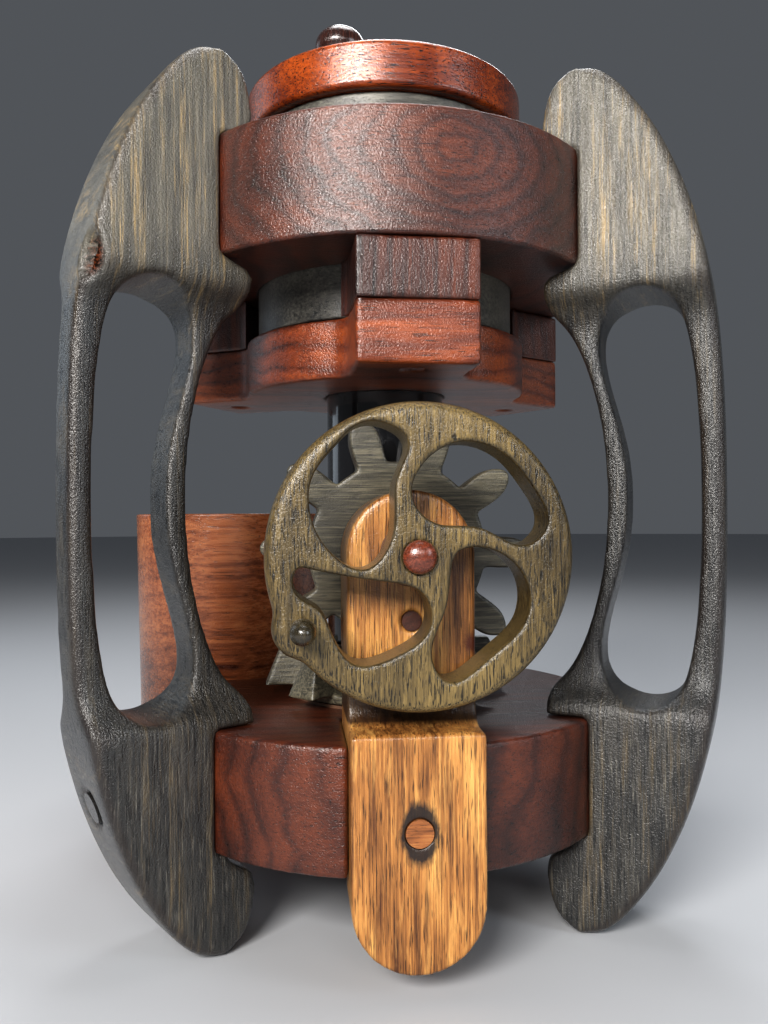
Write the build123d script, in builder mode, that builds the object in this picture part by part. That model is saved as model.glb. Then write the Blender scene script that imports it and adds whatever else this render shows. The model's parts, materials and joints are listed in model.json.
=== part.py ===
from build123d import *
from math import acos, cos, degrees, radians, sin
import os

os.makedirs("parts", exist_ok=True)

# Millimetres, +Z up.  The origin is the centre of the base disc's underside,
# the crank faces -Y, and the mirror tube stands on the Z axis.

# Boards the pieces are sawn from
THICK_BOARD = 44.5
FRAME_BOARD = 38.0
GEAR_BOARD = 12.5
POST_WIDTH = 45.0

# Base disc and upper ring
BASE_R = 93.0
RING_R = 90.0
RING_Z = 217.5
RING_BORE_R = 55.0
SPIGOT_BORE_R = 30.0
PORT_R = 32.0
PORT_DEPTH = 20.0

# Side frames: rho is the distance from the Z axis, h the height above mid frame
FRAME_AZIMUTHS = {"left": 211.0, "right": 330.0, "rear": 90.0}
FRAME_MID_Z = 128.0
STRUT_THICKNESS = 18.0
SCOOP_R = 16.0
SHOULDER_R = 9.0
SCOOP_H = 63.0
SCOOP_OVERRUN = 0.2
FRAME_SCREW_Z = 20.0
DOWEL_Z = 239.5

# Three-lobed plate under the ring
LOBE_AZIMUTHS = (271.6, 31.6, 151.6)
LOBE_WIDTH = 43.8
PLATE_Z = 173.5
PLATE_T = 22.5
PLATE_R = 60.0
LOBE_END = 88.5
LOBE_FILLET = 10.0
PLATE_SCREW_RHO = 74.0

# Crank: the axle lies along Y at this height
AXLE_Z = 108.3
AXLE_R = 5.0
POST_FRONT = -83.0
POST_BACK = -46.0
FOOT_FRONT = -100.0
FOOT_BOTTOM = -28.5
FOOT_TOP = 50.3
COVE_R = 7.0
WHEEL_FRONT = -102.5
WHEEL_BACK = -84.5
WHEEL_R = 51.1
WHEEL_OFFSET = 0.9
KNOB_X = -37.8
KNOB_Z = AXLE_Z - 22.8

# Drive gear (upright) and crown gear (level), in mesh at rest
DRIVE_TEETH = 10
DRIVE_ROOT_R = 34.8
DRIVE_FRONT = -45.0
DRIVE_PHASE = -1.5
CROWN_TEETH = 8
CROWN_PHASE = 268.1
CROWN_HUB_R = 31.3
CROWN_TOOTH_Z = 49.5
CROWN_T = 19.0
CROWN_TOP = CROWN_TOOTH_Z + CROWN_T
CROWN_TIP_R = 53.0
CROWN_TIP_TOP_R = 45.2
CELL_BORE_R = 27.0

# Mirror tube, head drum and cap
TUBE_R = 25.4
TUBE_BORE_R = 23.4
TUBE_BOTTOM = 47.5
TUBE_TOP = 290.0
MIRROR_INRADIUS = 11.0
MIRROR_WIDTH = 37.2
MIRROR_T = 3.0
DRUM_R = 54.9
DRUM_BOTTOM = 197.3
CAP_BOTTOM = 283.0
CAP_TOP = 301.0
CAP_R = 59.4

# Round canister at the back left
CAN_X = -72.5
CAN_Y = 87.0
CAN_TOP = 123.5
CAN_BOTTOM_R = 46.5
CAN_TOP_R = 49.0


def upright_plane(azimuth, height=0.0):
    """Plane through the Z axis: x runs outward, y runs up."""
    a = radians(azimuth)
    return Plane(origin=(0, 0, height), x_dir=(cos(a), sin(a), 0), z_dir=(sin(a), -cos(a), 0))


def outward_plane(azimuth, rho, height):
    """Plane facing outward at distance rho: x is level, y runs up."""
    a = radians(azimuth)
    centre = (rho * cos(a), rho * sin(a), height)
    return Plane(origin=centre, x_dir=(-sin(a), cos(a), 0), z_dir=(cos(a), sin(a), 0))


def front_plane(y, x=0.0, z=0.0):
    """Upright plane at depth y whose normal points to the front, -Y."""
    return Plane(origin=(x, y, z), x_dir=(1, 0, 0), z_dir=(0, -1, 0))


def save(builder, label):
    builder.part.label = label
    export_step(builder.part, f"parts/{label}.step")


# ---------------------------------------------------------------- stand

def make_base_disc():
    with BuildPart() as base_disc:
        Cylinder(BASE_R, THICK_BOARD, align=(Align.CENTER, Align.CENTER, Align.MIN))
        Cylinder(SPIGOT_BORE_R, THICK_BOARD, align=(Align.CENTER, Align.CENTER, Align.MIN), mode=Mode.SUBTRACT)
        Cylinder(PORT_R, PORT_DEPTH, align=(Align.CENTER, Align.CENTER, Align.MIN), mode=Mode.SUBTRACT)
        # notch for the crank post
        with Locations((0, POST_BACK, THICK_BOARD / 2)):
            Box(POST_WIDTH, 60, THICK_BOARD, align=(Align.CENTER, Align.MAX, Align.CENTER), mode=Mode.SUBTRACT)
        # seat that the tapered canister is glued into
        with Locations((CAN_X, CAN_Y, 0)):
            Cone(CAN_BOTTOM_R, CAN_TOP_R, CAN_TOP, align=(Align.CENTER, Align.CENTER, Align.MIN),
                 mode=Mode.SUBTRACT)
        # pilot holes for the three frame screws and the post screw
        for azimuth in list(FRAME_AZIMUTHS.values()):
            with BuildSketch(outward_plane(azimuth, 55.0, FRAME_SCREW_Z)):
                Circle(2.3)
            extrude(amount=45, mode=Mode.SUBTRACT)
        with BuildSketch(front_plane(-40.0, z=18.0)):
            Circle(2.3)
        extrude(amount=20, mode=Mode.SUBTRACT)
    save(base_disc, "base_disc")


def both_ways(points):
    """Points that end at mid height, followed by their mirror images below it."""
    return points + [(rho, -h) for rho, h in reversed(points[:-1])]


def frame_outline():
    """Closed outline of a side frame, drawn in (rho, h) from mid height."""
    outer = [(76.0, 137.5), (75.4, 142), (76.3, 151.3), (80.2, 160), (91.0, 165.5), (106.0, 155), (123.4, 125.5),
             (135.3, 86), (139.2, 50), (140.3, 0)]
    inner = [(75.0, 78.5), (75.1, 76.8), (76.3, 73.7), (79.5, 70), (87.0, 58), (92.9, 40), (96.0, 24), (97.4, 0)]
    with BuildLine() as outline:
        Spline(*both_ways(outer))
        Spline(*both_ways(inner))
        for side in (1, -1):
            Polyline((75.0, side * 78.5), (75.0, side * 82.5), (77.1, side * 85.8), (86.0, side * 89.0),
                     (86.0, side * 131.5), (76.0, side * 137.5))
    return outline.line


def window_outline():
    """Closed outline of the hand-sized window in a side frame."""
    upper = [(131.6, 0), (131.4, 17), (130.6, 34), (127.3, 62), (121.5, 75), (111.5, 78.8), (101.0, 75), (95.6, 66),
             (95.9, 50), (101.2, 30), (104.3, 15), (105.2, 0)]
    with BuildLine() as outline:
        Spline(*both_ways(upper)[:-1], periodic=True)
    return outline.line


def make_side_frame(side, azimuth):
    with BuildPart() as frame:
        with BuildSketch(upright_plane(azimuth, FRAME_MID_Z)):
            make_face(frame_outline().edges())
            make_face(window_outline().edges(), mode=Mode.SUBTRACT)
        extrude(amount=FRAME_BOARD / 2, both=True)
        # coped onto the rims of the base disc and the upper ring
        Cylinder(BASE_R, THICK_BOARD, align=(Align.CENTER, Align.CENTER, Align.MIN), mode=Mode.SUBTRACT)
        with Locations((0, 0, RING_Z)):
            Cylinder(RING_R, THICK_BOARD, align=(Align.CENTER, Align.CENTER, Align.MIN), mode=Mode.SUBTRACT)
        # both faces are scooped so the struts are half the board's thickness; the shoulders end just outside
        half = STRUT_THICKNESS / 2
        turn = degrees(acos(1 - (FRAME_BOARD / 2 + SCOOP_OVERRUN - half) / (SCOOP_R + SHOULDER_R)))
        with BuildSketch(outward_plane(azimuth, 60.0, FRAME_MID_Z)):
            with BuildLine():
                Line((half, 0), (half, SCOOP_H))
                scoop = JernArc((half, SCOOP_H), (0, 1), SCOOP_R, -turn)
                shoulder = JernArc(scoop @ 1, scoop % 1, SHOULDER_R, turn)
                Polyline(shoulder @ 1, ((shoulder @ 1).X, 180), (0, 180))
                mirror(about=Plane.YZ)
                mirror(about=Plane.XZ)
            make_face()
        extrude(amount=90, mode=Mode.INTERSECT)
        # screw and plug hole low down, dowel hole at the ring
        with BuildSketch(outward_plane(azimuth, 85.0, FRAME_SCREW_Z)):
            Circle(2.3)
        extrude(amount=40, mode=Mode.SUBTRACT)
        with BuildSketch(outward_plane(azimuth, 112.0, FRAME_SCREW_Z)):
            Circle(5.5)
        extrude(amount=30, mode=Mode.SUBTRACT)
        with BuildSketch(outward_plane(azimuth, 80.0, DOWEL_Z)):
            Circle(4.0)
        extrude(amount=30, mode=Mode.SUBTRACT)
    save(frame, f"side_frame_{side}")


def make_upper_ring():
    with BuildPart() as upper_ring:
        with Locations((0, 0, RING_Z)):
            Cylinder(RING_R, THICK_BOARD, align=(Align.CENTER, Align.CENTER, Align.MIN))
            Cylinder(RING_BORE_R, THICK_BOARD, align=(Align.CENTER, Align.CENTER, Align.MIN), mode=Mode.SUBTRACT)
        for azimuth in FRAME_AZIMUTHS.values():
            with BuildSketch(outward_plane(azimuth, 68.0, DOWEL_Z)):
                Circle(4.0)
            extrude(amount=30, mode=Mode.SUBTRACT)
        for azimuth in LOBE_AZIMUTHS:
            with Locations((PLATE_SCREW_RHO * cos(radians(azimuth)), PLATE_SCREW_RHO * sin(radians(azimuth)), RING_Z)):
                Cylinder(2.2, 19.5, align=(Align.CENTER, Align.CENTER, Align.MIN), mode=Mode.SUBTRACT)
    save(upper_ring, "upper_ring")


def lobed_sketch(z, inner_r):
    """Disc with three square-ended lobes, blended by concave fillets, on a level plane."""
    with BuildSketch(Plane.XY.offset(z)) as plan:
        Circle(PLATE_R)
        for azimuth in LOBE_AZIMUTHS:
            with Locations(Location((0, 0, 0), (0, 0, azimuth))):
                Rectangle(LOBE_END, LOBE_WIDTH, align=(Align.MIN, Align.CENTER))
        corners = [v for v in plan.vertices() if PLATE_R - 1 < (v.X**2 + v.Y**2) ** 0.5 < PLATE_R + 1]
        fillet(corners, LOBE_FILLET)
        Circle(inner_r, mode=Mode.SUBTRACT)
    return plan.sketch


def make_lower_plate():
    with BuildPart() as lower_plate:
        add(lobed_sketch(PLATE_Z, TUBE_R + 0.1))
        extrude(amount=PLATE_T)
        for azimuth in LOBE_AZIMUTHS:
            x = PLATE_SCREW_RHO * cos(radians(azimuth))
            y = PLATE_SCREW_RHO * sin(radians(azimuth))
            with Locations((x, y, PLATE_Z)):
                Cylinder(2.2, PLATE_T, align=(Align.CENTER, Align.CENTER, Align.MIN), mode=Mode.SUBTRACT)
                Cylinder(4.0, 5, align=(Align.CENTER, Align.CENTER, Align.MIN), mode=Mode.SUBTRACT)
    save(lower_plate, "lower_plate")


def make_spacer_blocks():
    with BuildPart() as spacer_blocks:
        add(lobed_sketch(PLATE_Z + PLATE_T, PLATE_R + 1.0))
        extrude(amount=RING_Z - PLATE_Z - PLATE_T)
        for azimuth in LOBE_AZIMUTHS:
            x = PLATE_SCREW_RHO * cos(radians(azimuth))
            y = PLATE_SCREW_RHO * sin(radians(azimuth))
            with Locations((x, y, PLATE_Z + PLATE_T)):
                Cylinder(2.2, 30, align=(Align.CENTER, Align.CENTER, Align.MIN), mode=Mode.SUBTRACT)
    save(spacer_blocks, "spacer_blocks")


def make_plate_screws():
    with BuildPart() as plate_screws:
        for azimuth in LOBE_AZIMUTHS:
            x = PLATE_SCREW_RHO * cos(radians(azimuth))
            y = PLATE_SCREW_RHO * sin(radians(azimuth))
            with Locations((x, y, PLATE_Z + 1.6)):
                Cylinder(3.8, 3.4, align=(Align.CENTER, Align.CENTER, Align.MIN))
                Box(1.0, 6.0, 1.2, align=(Align.CENTER, Align.CENTER, Align.MIN), mode=Mode.SUBTRACT)
            with Locations((x, y, PLATE_Z + 5.0)):
                Cylinder(2.2, 56, align=(Align.CENTER, Align.CENTER, Align.MIN))
    save(plate_screws, "plate_screws")


def make_frame_screws():
    with BuildPart() as frame_screws:
        for azimuth in FRAME_AZIMUTHS.values():
            with BuildSketch(outward_plane(azimuth, 58.0, FRAME_SCREW_Z)):
                Circle(2.3)
            extrude(amount=54)
            with BuildSketch(outward_plane(azimuth, 112.0, FRAME_SCREW_Z)):
                Circle(4.5)
            extrude(amount=4)
        with BuildSketch(front_plane(-42.0, z=18.0)):
            Circle(2.3)
        extrude(amount=44)
        with BuildSketch(front_plane(-86.0, z=18.0)):
            Circle(4.2)
        extrude(amount=3.5)
    save(frame_screws, "frame_screws")


def make_frame_plugs():
    with BuildPart() as frame_plugs:
        for azimuth in FRAME_AZIMUTHS.values():
            with BuildSketch(outward_plane(azimuth, 119.0, FRAME_SCREW_Z)):
                Circle(5.5)
            extrude(amount=15)
        # sawn flush with the curved outer edges of the frames
        with BuildPart(mode=Mode.PRIVATE) as rims:
            for azimuth in FRAME_AZIMUTHS.values():
                with BuildSketch(upright_plane(azimuth, FRAME_MID_Z)):
                    make_face(frame_outline().edges())
                extrude(amount=FRAME_BOARD / 2, both=True)
        add(rims.part, mode=Mode.INTERSECT)
    save(frame_plugs, "frame_plugs")


def make_ring_dowels():
    with BuildPart() as ring_dowels:
        for azimuth in FRAME_AZIMUTHS.values():
            with BuildSketch(outward_plane(azimuth, 69.0, DOWEL_Z)):
                Circle(4.0)
            extrude(amount=40)
    save(ring_dowels, "ring_dowels")


# ---------------------------------------------------------------- crank post

def make_crank_post():
    top = AXLE_Z + POST_WIDTH / 2
    with BuildPart() as crank_post:
        with BuildSketch(front_plane(POST_BACK, z=(top + FOOT_BOTTOM) / 2)):
            SlotOverall(top - FOOT_BOTTOM, POST_WIDTH, rotation=90)
        extrude(amount=POST_BACK - FOOT_FRONT)
        # upper part set back behind the wheel, with a cove above the foot
        with BuildSketch(Plane.YZ):
            with BuildLine():
                Line((-120, FOOT_TOP), (POST_FRONT - COVE_R, FOOT_TOP))
                RadiusArc((POST_FRONT - COVE_R, FOOT_TOP), (POST_FRONT, FOOT_TOP + COVE_R), -COVE_R)
                Line((POST_FRONT, FOOT_TOP + COVE_R), (POST_FRONT, top + 5))
                Line((POST_FRONT, top + 5), (-120, top + 5))
                Line((-120, top + 5), (-120, FOOT_TOP))
            make_face()
        extrude(amount=40, both=True, mode=Mode.SUBTRACT)
        # foot tucked under the base disc
        with Locations((0, -72, 0)):
            Box(60, 40, 60, align=(Align.CENTER, Align.MIN, Align.MAX), mode=Mode.SUBTRACT)
        # relief behind the post for the crown gear's teeth
        with Locations((0, 0, THICK_BOARD)):
            Cylinder(CROWN_TIP_R + 1.5, CROWN_TOP + 2 - THICK_BOARD, align=(Align.CENTER, Align.CENTER, Align.MIN),
                     mode=Mode.SUBTRACT)
        # bore for the two axle bushes, plug holes and the screw hole
        with BuildSketch(front_plane(POST_BACK + 1, z=AXLE_Z)):
            Circle(7.0)
        extrude(amount=60, mode=Mode.SUBTRACT)
        with BuildSketch(front_plane(-71.0, z=85.3)):
            Circle(3.4)
        extrude(amount=30, mode=Mode.SUBTRACT)
        with BuildSketch(front_plane(POST_BACK + 1, z=18.0)):
            Circle(2.3)
        extrude(amount=60, mode=Mode.SUBTRACT)
        with BuildSketch(front_plane(-86.0, z=18.0)):
            Circle(4.7)
        extrude(amount=30, mode=Mode.SUBTRACT)
    save(crank_post, "crank_post")


def make_post_plugs():
    with BuildPart() as foot_plug:
        with BuildSketch(front_plane(-90.0, z=18.0)):
            Circle(4.7)
        extrude(amount=10)
    save(foot_plug, "foot_plug")
    with BuildPart() as post_plug:
        with BuildSketch(front_plane(-71.0, z=85.3)):
            Circle(3.4)
        extrude(amount=12)
    save(post_plug, "post_plug")


def make_axle_bushes():
    with BuildPart() as axle_bushes:
        for back in (POST_BACK, POST_FRONT + 12):
            with BuildSketch(front_plane(back, z=AXLE_Z)):
                Circle(7.0)
                Circle(AXLE_R + 0.08, mode=Mode.SUBTRACT)
            extrude(amount=12)
    save(axle_bushes, "axle_bushes")


def make_thrust_washers():
    with BuildPart() as thrust_washers:
        for back, thickness in ((POST_FRONT, 1.2), (-45.3, 0.7)):
            with BuildSketch(front_plane(back, z=AXLE_Z)):
                Circle(11.0)
                Circle(AXLE_R + 0.3, mode=Mode.SUBTRACT)
            extrude(amount=thickness)
    save(thrust_washers, "thrust_washers")


# ---------------------------------------------------------------- crank

def make_crank_wheel():
    with BuildPart() as crank_wheel:
        with BuildSketch(front_plane(WHEEL_BACK, z=AXLE_Z)):
            with Locations((WHEEL_OFFSET, 0)):
                Circle(WHEEL_R)
            with Locations((KNOB_X, KNOB_Z - AXLE_Z)):
                Circle(10.2)
        extrude(amount=WHEEL_BACK - WHEEL_FRONT)
        fillet(crank_wheel.edges().filter_by(Axis.Y).filter_by(lambda e: e.center().X < 0), 9)
        fillet(crank_wheel.edges().filter_by(lambda e: abs(e.center().Y - WHEEL_FRONT) < 0.1), 4.0)
        fillet(crank_wheel.edges().filter_by(lambda e: abs(e.center().Y - WHEEL_BACK) < 0.1), 2.0)
        # four swirling windows
        with BuildSketch(front_plane(WHEEL_BACK + 1, z=AXLE_Z)):
            with BuildLine():
                Spline((-9.5, 42.9), (-3.4, 36.5), (-7.2, 25.9), (-8.0, 13.4), (-10.5, 2.5), (-17.5, -3.8),
                       (-27.5, 0.6), (-34.6, 12.0), (-35.0, 24.4), (-25.9, 37.6), periodic=True)
            make_face()
        extrude(amount=20, mode=Mode.SUBTRACT)
        with BuildSketch(front_plane(WHEEL_BACK + 1, z=AXLE_Z)):
            with BuildLine():
                Spline((6.3, 34.6), (16.5, 37.6), (28.0, 33.8), (38.4, 22.0), (42.6, 10.0), (36.0, 3.7),
                       (20.5, 9.3), (5.4, 11.0), (-1.9, 18.5), periodic=True)
            make_face()
        extrude(amount=20, mode=Mode.SUBTRACT)
        with BuildSketch(front_plane(WHEEL_BACK + 1, z=AXLE_Z)):
            with BuildLine():
                Spline((14.1, 2.3), (26.1, 1.4), (35.6, -8.5), (35.2, -21.0), (23.0, -33.2), (8.5, -40.4),
                       (4.2, -33.5), (8.4, -18.0), (10.4, -5.5), periodic=True)
            make_face()
        extrude(amount=20, mode=Mode.SUBTRACT)
        with BuildSketch(front_plane(WHEEL_BACK + 1, z=AXLE_Z)):
            with BuildLine():
                Spline((-37.8, -2.9), (-28.0, -5.2), (-12.0, -7.9), (1.6, -12.6), (3.4, -22.6), (-7.5, -31.9),
                       (-21.5, -34.2), (-28.2, -25.0), (-33.0, -16.2), (-40.8, -9.0), periodic=True)
            make_face()
        extrude(amount=20, mode=Mode.SUBTRACT)
        # axle bore, knob stem hole and its counterbore at the back
        with BuildSketch(front_plane(WHEEL_BACK + 1, z=AXLE_Z)):
            Circle(AXLE_R)
        extrude(amount=20, mode=Mode.SUBTRACT)
        with BuildSketch(front_plane(WHEEL_BACK + 1, x=KNOB_X, z=KNOB_Z)):
            Circle(2.58)
        extrude(amount=20, mode=Mode.SUBTRACT)
        with BuildSketch(front_plane(WHEEL_BACK + 1, x=KNOB_X, z=KNOB_Z)):
            Circle(4.6)
        extrude(amount=5.5, mode=Mode.SUBTRACT)
    save(crank_wheel, "crank_wheel")


def make_crank_axle():
    with BuildPart() as crank_axle:
        with BuildSketch(front_plane(-31.5, z=AXLE_Z)):
            Circle(AXLE_R)
        extrude(amount=-31.5 - WHEEL_FRONT)
        # kerf for the wedge that locks the drive gear
        with Locations((0, -31.5, AXLE_Z)):
            Box(1.2, 10, 8, align=(Align.CENTER, Align.MAX, Align.CENTER), mode=Mode.SUBTRACT)
    save(crank_axle, "crank_axle")
    with BuildPart() as axle_wedge:
        with Locations((0, -31.5, AXLE_Z)):
            Box(1.2, 10, 8, align=(Align.CENTER, Align.MAX, Align.CENTER))
    save(axle_wedge, "axle_wedge")
    with BuildPart() as axle_cap:
        with BuildSketch(front_plane(WHEEL_FRONT, z=AXLE_Z)):
            Circle(5.6)
        extrude(amount=4.6)
        fillet(axle_cap.edges().filter_by(lambda e: e.center().Y < WHEEL_FRONT - 4), 4.0)
    save(axle_cap, "axle_cap")


def make_crank_knob():
    with BuildPart() as crank_knob:
        with BuildSketch(front_plane(-86.0, x=KNOB_X, z=KNOB_Z)):
            Circle(2.5)
        extrude(amount=18)
        with BuildSketch(front_plane(-102.9, x=KNOB_X, z=KNOB_Z)):
            Circle(4.3)
        extrude(amount=13.6)
        fillet(crank_knob.edges().filter_by(lambda e: e.center().Y < -116), 4.0)
    save(crank_knob, "crank_knob")
    with BuildPart() as knob_collar:
        with BuildSketch(front_plane(-86.0, x=KNOB_X, z=KNOB_Z)):
            Circle(4.2)
            Circle(2.5, mode=Mode.SUBTRACT)
        extrude(amount=2.5)
    save(knob_collar, "knob_collar")


def make_drive_gear():
    with BuildPart() as drive_gear:
        with BuildSketch(front_plane(DRIVE_FRONT + GEAR_BOARD, z=AXLE_Z)):
            Circle(DRIVE_ROOT_R)
            with Locations([Location((0, 0, 0), (0, 0, DRIVE_PHASE + 360 / DRIVE_TEETH * i))
                            for i in range(DRIVE_TEETH)]):
                with BuildSketch(mode=Mode.PRIVATE) as tooth:
                    with BuildLine():
                        Line((30.0, -5.9), (34.6, -5.9))
                        Spline((34.6, -5.9), (43.5, -6.1), (49.6, -4.6), (53.5, 0), (49.6, 4.6), (43.5, 6.1),
                               (34.6, 5.9))
                        Line((34.6, 5.9), (30.0, 5.9))
                        Line((30.0, 5.9), (30.0, -5.9))
                    make_face()
                add(tooth.sketch)
            Circle(AXLE_R, mode=Mode.SUBTRACT)
        extrude(amount=GEAR_BOARD)
    save(drive_gear, "drive_gear")


# ---------------------------------------------------------------- turntable and object cell

def make_crown_gear():
    with BuildPart() as crown_gear:
        with BuildSketch(Plane.XY.offset(CROWN_TOOTH_Z)):
            with Locations([Location((0, 0, 0), (0, 0, CROWN_PHASE + 360 / CROWN_TEETH * i))
                            for i in range(CROWN_TEETH)]):
                with BuildSketch(mode=Mode.PRIVATE) as tooth:
                    Polygon((28, -5.2), (60, -8.2), (60, 8.2), (28, 5.2), align=None)
                add(tooth.sketch)
        extrude(amount=CROWN_T, taper=12)
        # outer ends of the teeth slope inward towards the top
        with Locations((0, 0, CROWN_TOOTH_Z)):
            Cone(CROWN_TIP_R, CROWN_TIP_TOP_R, CROWN_T, align=(Align.CENTER, Align.CENTER, Align.MIN),
                 mode=Mode.INTERSECT)
        with Locations((0, 0, 46)):
            Cylinder(CROWN_HUB_R, CROWN_TOP - 46, align=(Align.CENTER, Align.CENTER, Align.MIN))
            Cylinder(40, 4, align=(Align.CENTER, Align.CENTER, Align.MIN))
        # spigot that turns in the base disc's bore
        with Locations((0, 0, 24.5)):
            Cylinder(SPIGOT_BORE_R - 0.1, 21.5, align=(Align.CENTER, Align.CENTER, Align.MIN))
            Cylinder(25, 50, align=(Align.CENTER, Align.CENTER, Align.MIN), mode=Mode.SUBTRACT)
        with Locations((0, 0, 28.5)):
            Cylinder(CELL_BORE_R, 50, align=(Align.CENTER, Align.CENTER, Align.MIN), mode=Mode.SUBTRACT)
    save(crown_gear, "crown_gear")


def make_turntable_washer():
    with BuildPart() as turntable_washer:
        with Locations((0, 0, THICK_BOARD)):
            Cylinder(39, 1.2, align=(Align.CENTER, Align.CENTER, Align.MIN))
            Cylinder(31, 1.2, align=(Align.CENTER, Align.CENTER, Align.MIN), mode=Mode.SUBTRACT)
    save(turntable_washer, "turntable_washer")


def make_object_cell():
    with BuildPart() as cell_diffuser:
        with Locations((0, 0, 28.5)):
            Cylinder(CELL_BORE_R, 3, align=(Align.CENTER, Align.CENTER, Align.MIN))
    save(cell_diffuser, "cell_diffuser")
    with BuildPart() as cell_spacer:
        with Locations((0, 0, 31.5)):
            Cylinder(CELL_BORE_R, 10.5, align=(Align.CENTER, Align.CENTER, Align.MIN))
            Cylinder(24.8, 10.5, align=(Align.CENTER, Align.CENTER, Align.MIN), mode=Mode.SUBTRACT)
    save(cell_spacer, "cell_spacer")
    with BuildPart() as cell_window:
        with Locations((0, 0, 42)):
            Cylinder(CELL_BORE_R, 2.5, align=(Align.CENTER, Align.CENTER, Align.MIN))
    save(cell_window, "cell_window")
    # loose coloured glass: discs, bars and wedges lying on the diffuser
    with BuildPart() as cell_glass:
        for i in range(6):
            with Locations((7.5 * cos(radians(60 * i + 12)), 7.5 * sin(radians(60 * i + 12)), 31.5)):
                Cylinder(2.4 + 0.25 * (i % 3), 2.6 + 0.9 * (i % 2), align=(Align.CENTER, Align.CENTER, Align.MIN))
        for i in range(8):
            a = 45 * i + 8
            with Locations(Location((17 * cos(radians(a)), 17 * sin(radians(a)), 31.5), (0, 0, a + 35 * (i % 3)))):
                if i % 2:
                    Box(7.5, 3.2, 3.0, align=(Align.CENTER, Align.CENTER, Align.MIN))
                else:
                    Cone(3.6, 1.6, 4.4, align=(Align.CENTER, Align.CENTER, Align.MIN))
    save(cell_glass, "cell_glass")


# ---------------------------------------------------------------- head: drum, cap, eyepiece, mirror tube

def make_drum():
    with BuildPart() as drum:
        with Locations((0, 0, DRUM_BOTTOM)):
            Cylinder(DRUM_R, CAP_BOTTOM - DRUM_BOTTOM, align=(Align.CENTER, Align.CENTER, Align.MIN))
            Cylinder(TUBE_R, 100, align=(Align.CENTER, Align.CENTER, Align.MIN), mode=Mode.SUBTRACT)
        with Locations((0, 0, DRUM_BOTTOM + 8)):
            Cylinder(DRUM_R - 5, 100, align=(Align.CENTER, Align.CENTER, Align.MIN), mode=Mode.SUBTRACT)
    save(drum, "drum")
    with BuildPart() as drum_washer:
        with Locations((0, 0, PLATE_Z + PLATE_T)):
            Cylinder(48, 1.0, align=(Align.CENTER, Align.CENTER, Align.MIN))
            Cylinder(30, 1.0, align=(Align.CENTER, Align.CENTER, Align.MIN), mode=Mode.SUBTRACT)
    save(drum_washer, "drum_washer")


def make_top_cap():
    with BuildPart() as top_cap:
        with Locations((0, 0, CAP_BOTTOM)):
            Cylinder(CAP_R, CAP_TOP - CAP_BOTTOM, align=(Align.CENTER, Align.CENTER, Align.MIN))
        fillet(top_cap.edges().filter_by(GeomType.CIRCLE), 2.5)
        with Locations((0, 0, CAP_BOTTOM - 6)):
            Cylinder(DRUM_R - 5, 6, align=(Align.CENTER, Align.CENTER, Align.MIN))
            Cylinder(TUBE_R, TUBE_TOP - CAP_BOTTOM + 6, align=(Align.CENTER, Align.CENTER, Align.MIN),
                     mode=Mode.SUBTRACT)
            Cylinder(14, 40, align=(Align.CENTER, Align.CENTER, Align.MIN), mode=Mode.SUBTRACT)
        with Locations((-21.5, -42.0, CAP_TOP - 8)):
            Cylinder(3, 8, align=(Align.CENTER, Align.CENTER, Align.MIN), mode=Mode.SUBTRACT)
    save(top_cap, "top_cap")


def make_cap_knob():
    with BuildPart() as cap_knob:
        with BuildSketch(Plane(origin=(-21.5, -42.0, CAP_TOP), x_dir=(1, 0, 0), z_dir=(0, -1, 0))):
            with BuildLine():
                Line((0, -8), (3, -8))
                Line((3, -8), (3, 0))
                Line((3, 0), (8.2, 0))
                Spline((8.2, 0), (9.6, 3.4), (8.6, 7.4), (5.0, 10.6), (0, 11.6), tangents=((0.8, 1), (-1, 0)))
                Line((0, 11.6), (0, -8))
            make_face()
        revolve(axis=Axis((-21.5, -42.0, 0), (0, 0, 1)))
    save(cap_knob, "cap_knob")


def make_eyepiece():
    with BuildPart() as eyepiece_ring:
        with BuildSketch(Plane.XZ):
            with BuildLine():
                Line((11, 294), (14, 294))
                Line((14, 294), (14, CAP_TOP))
                Line((14, CAP_TOP), (19, CAP_TOP))
                Spline((19, CAP_TOP), (19.2, 305), (16.8, 309.5), (13.2, 309.0), (11, 306.5))
                Line((11, 306.5), (11, 294))
            make_face()
        revolve(axis=Axis.Z)
    save(eyepiece_ring, "eyepiece_ring")
    with BuildPart() as eye_lens:
        with Locations((0, 0, TUBE_TOP)):
            Cylinder(13.9, 3.9, align=(Align.CENTER, Align.CENTER, Align.MIN))
    save(eye_lens, "eye_lens")


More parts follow.
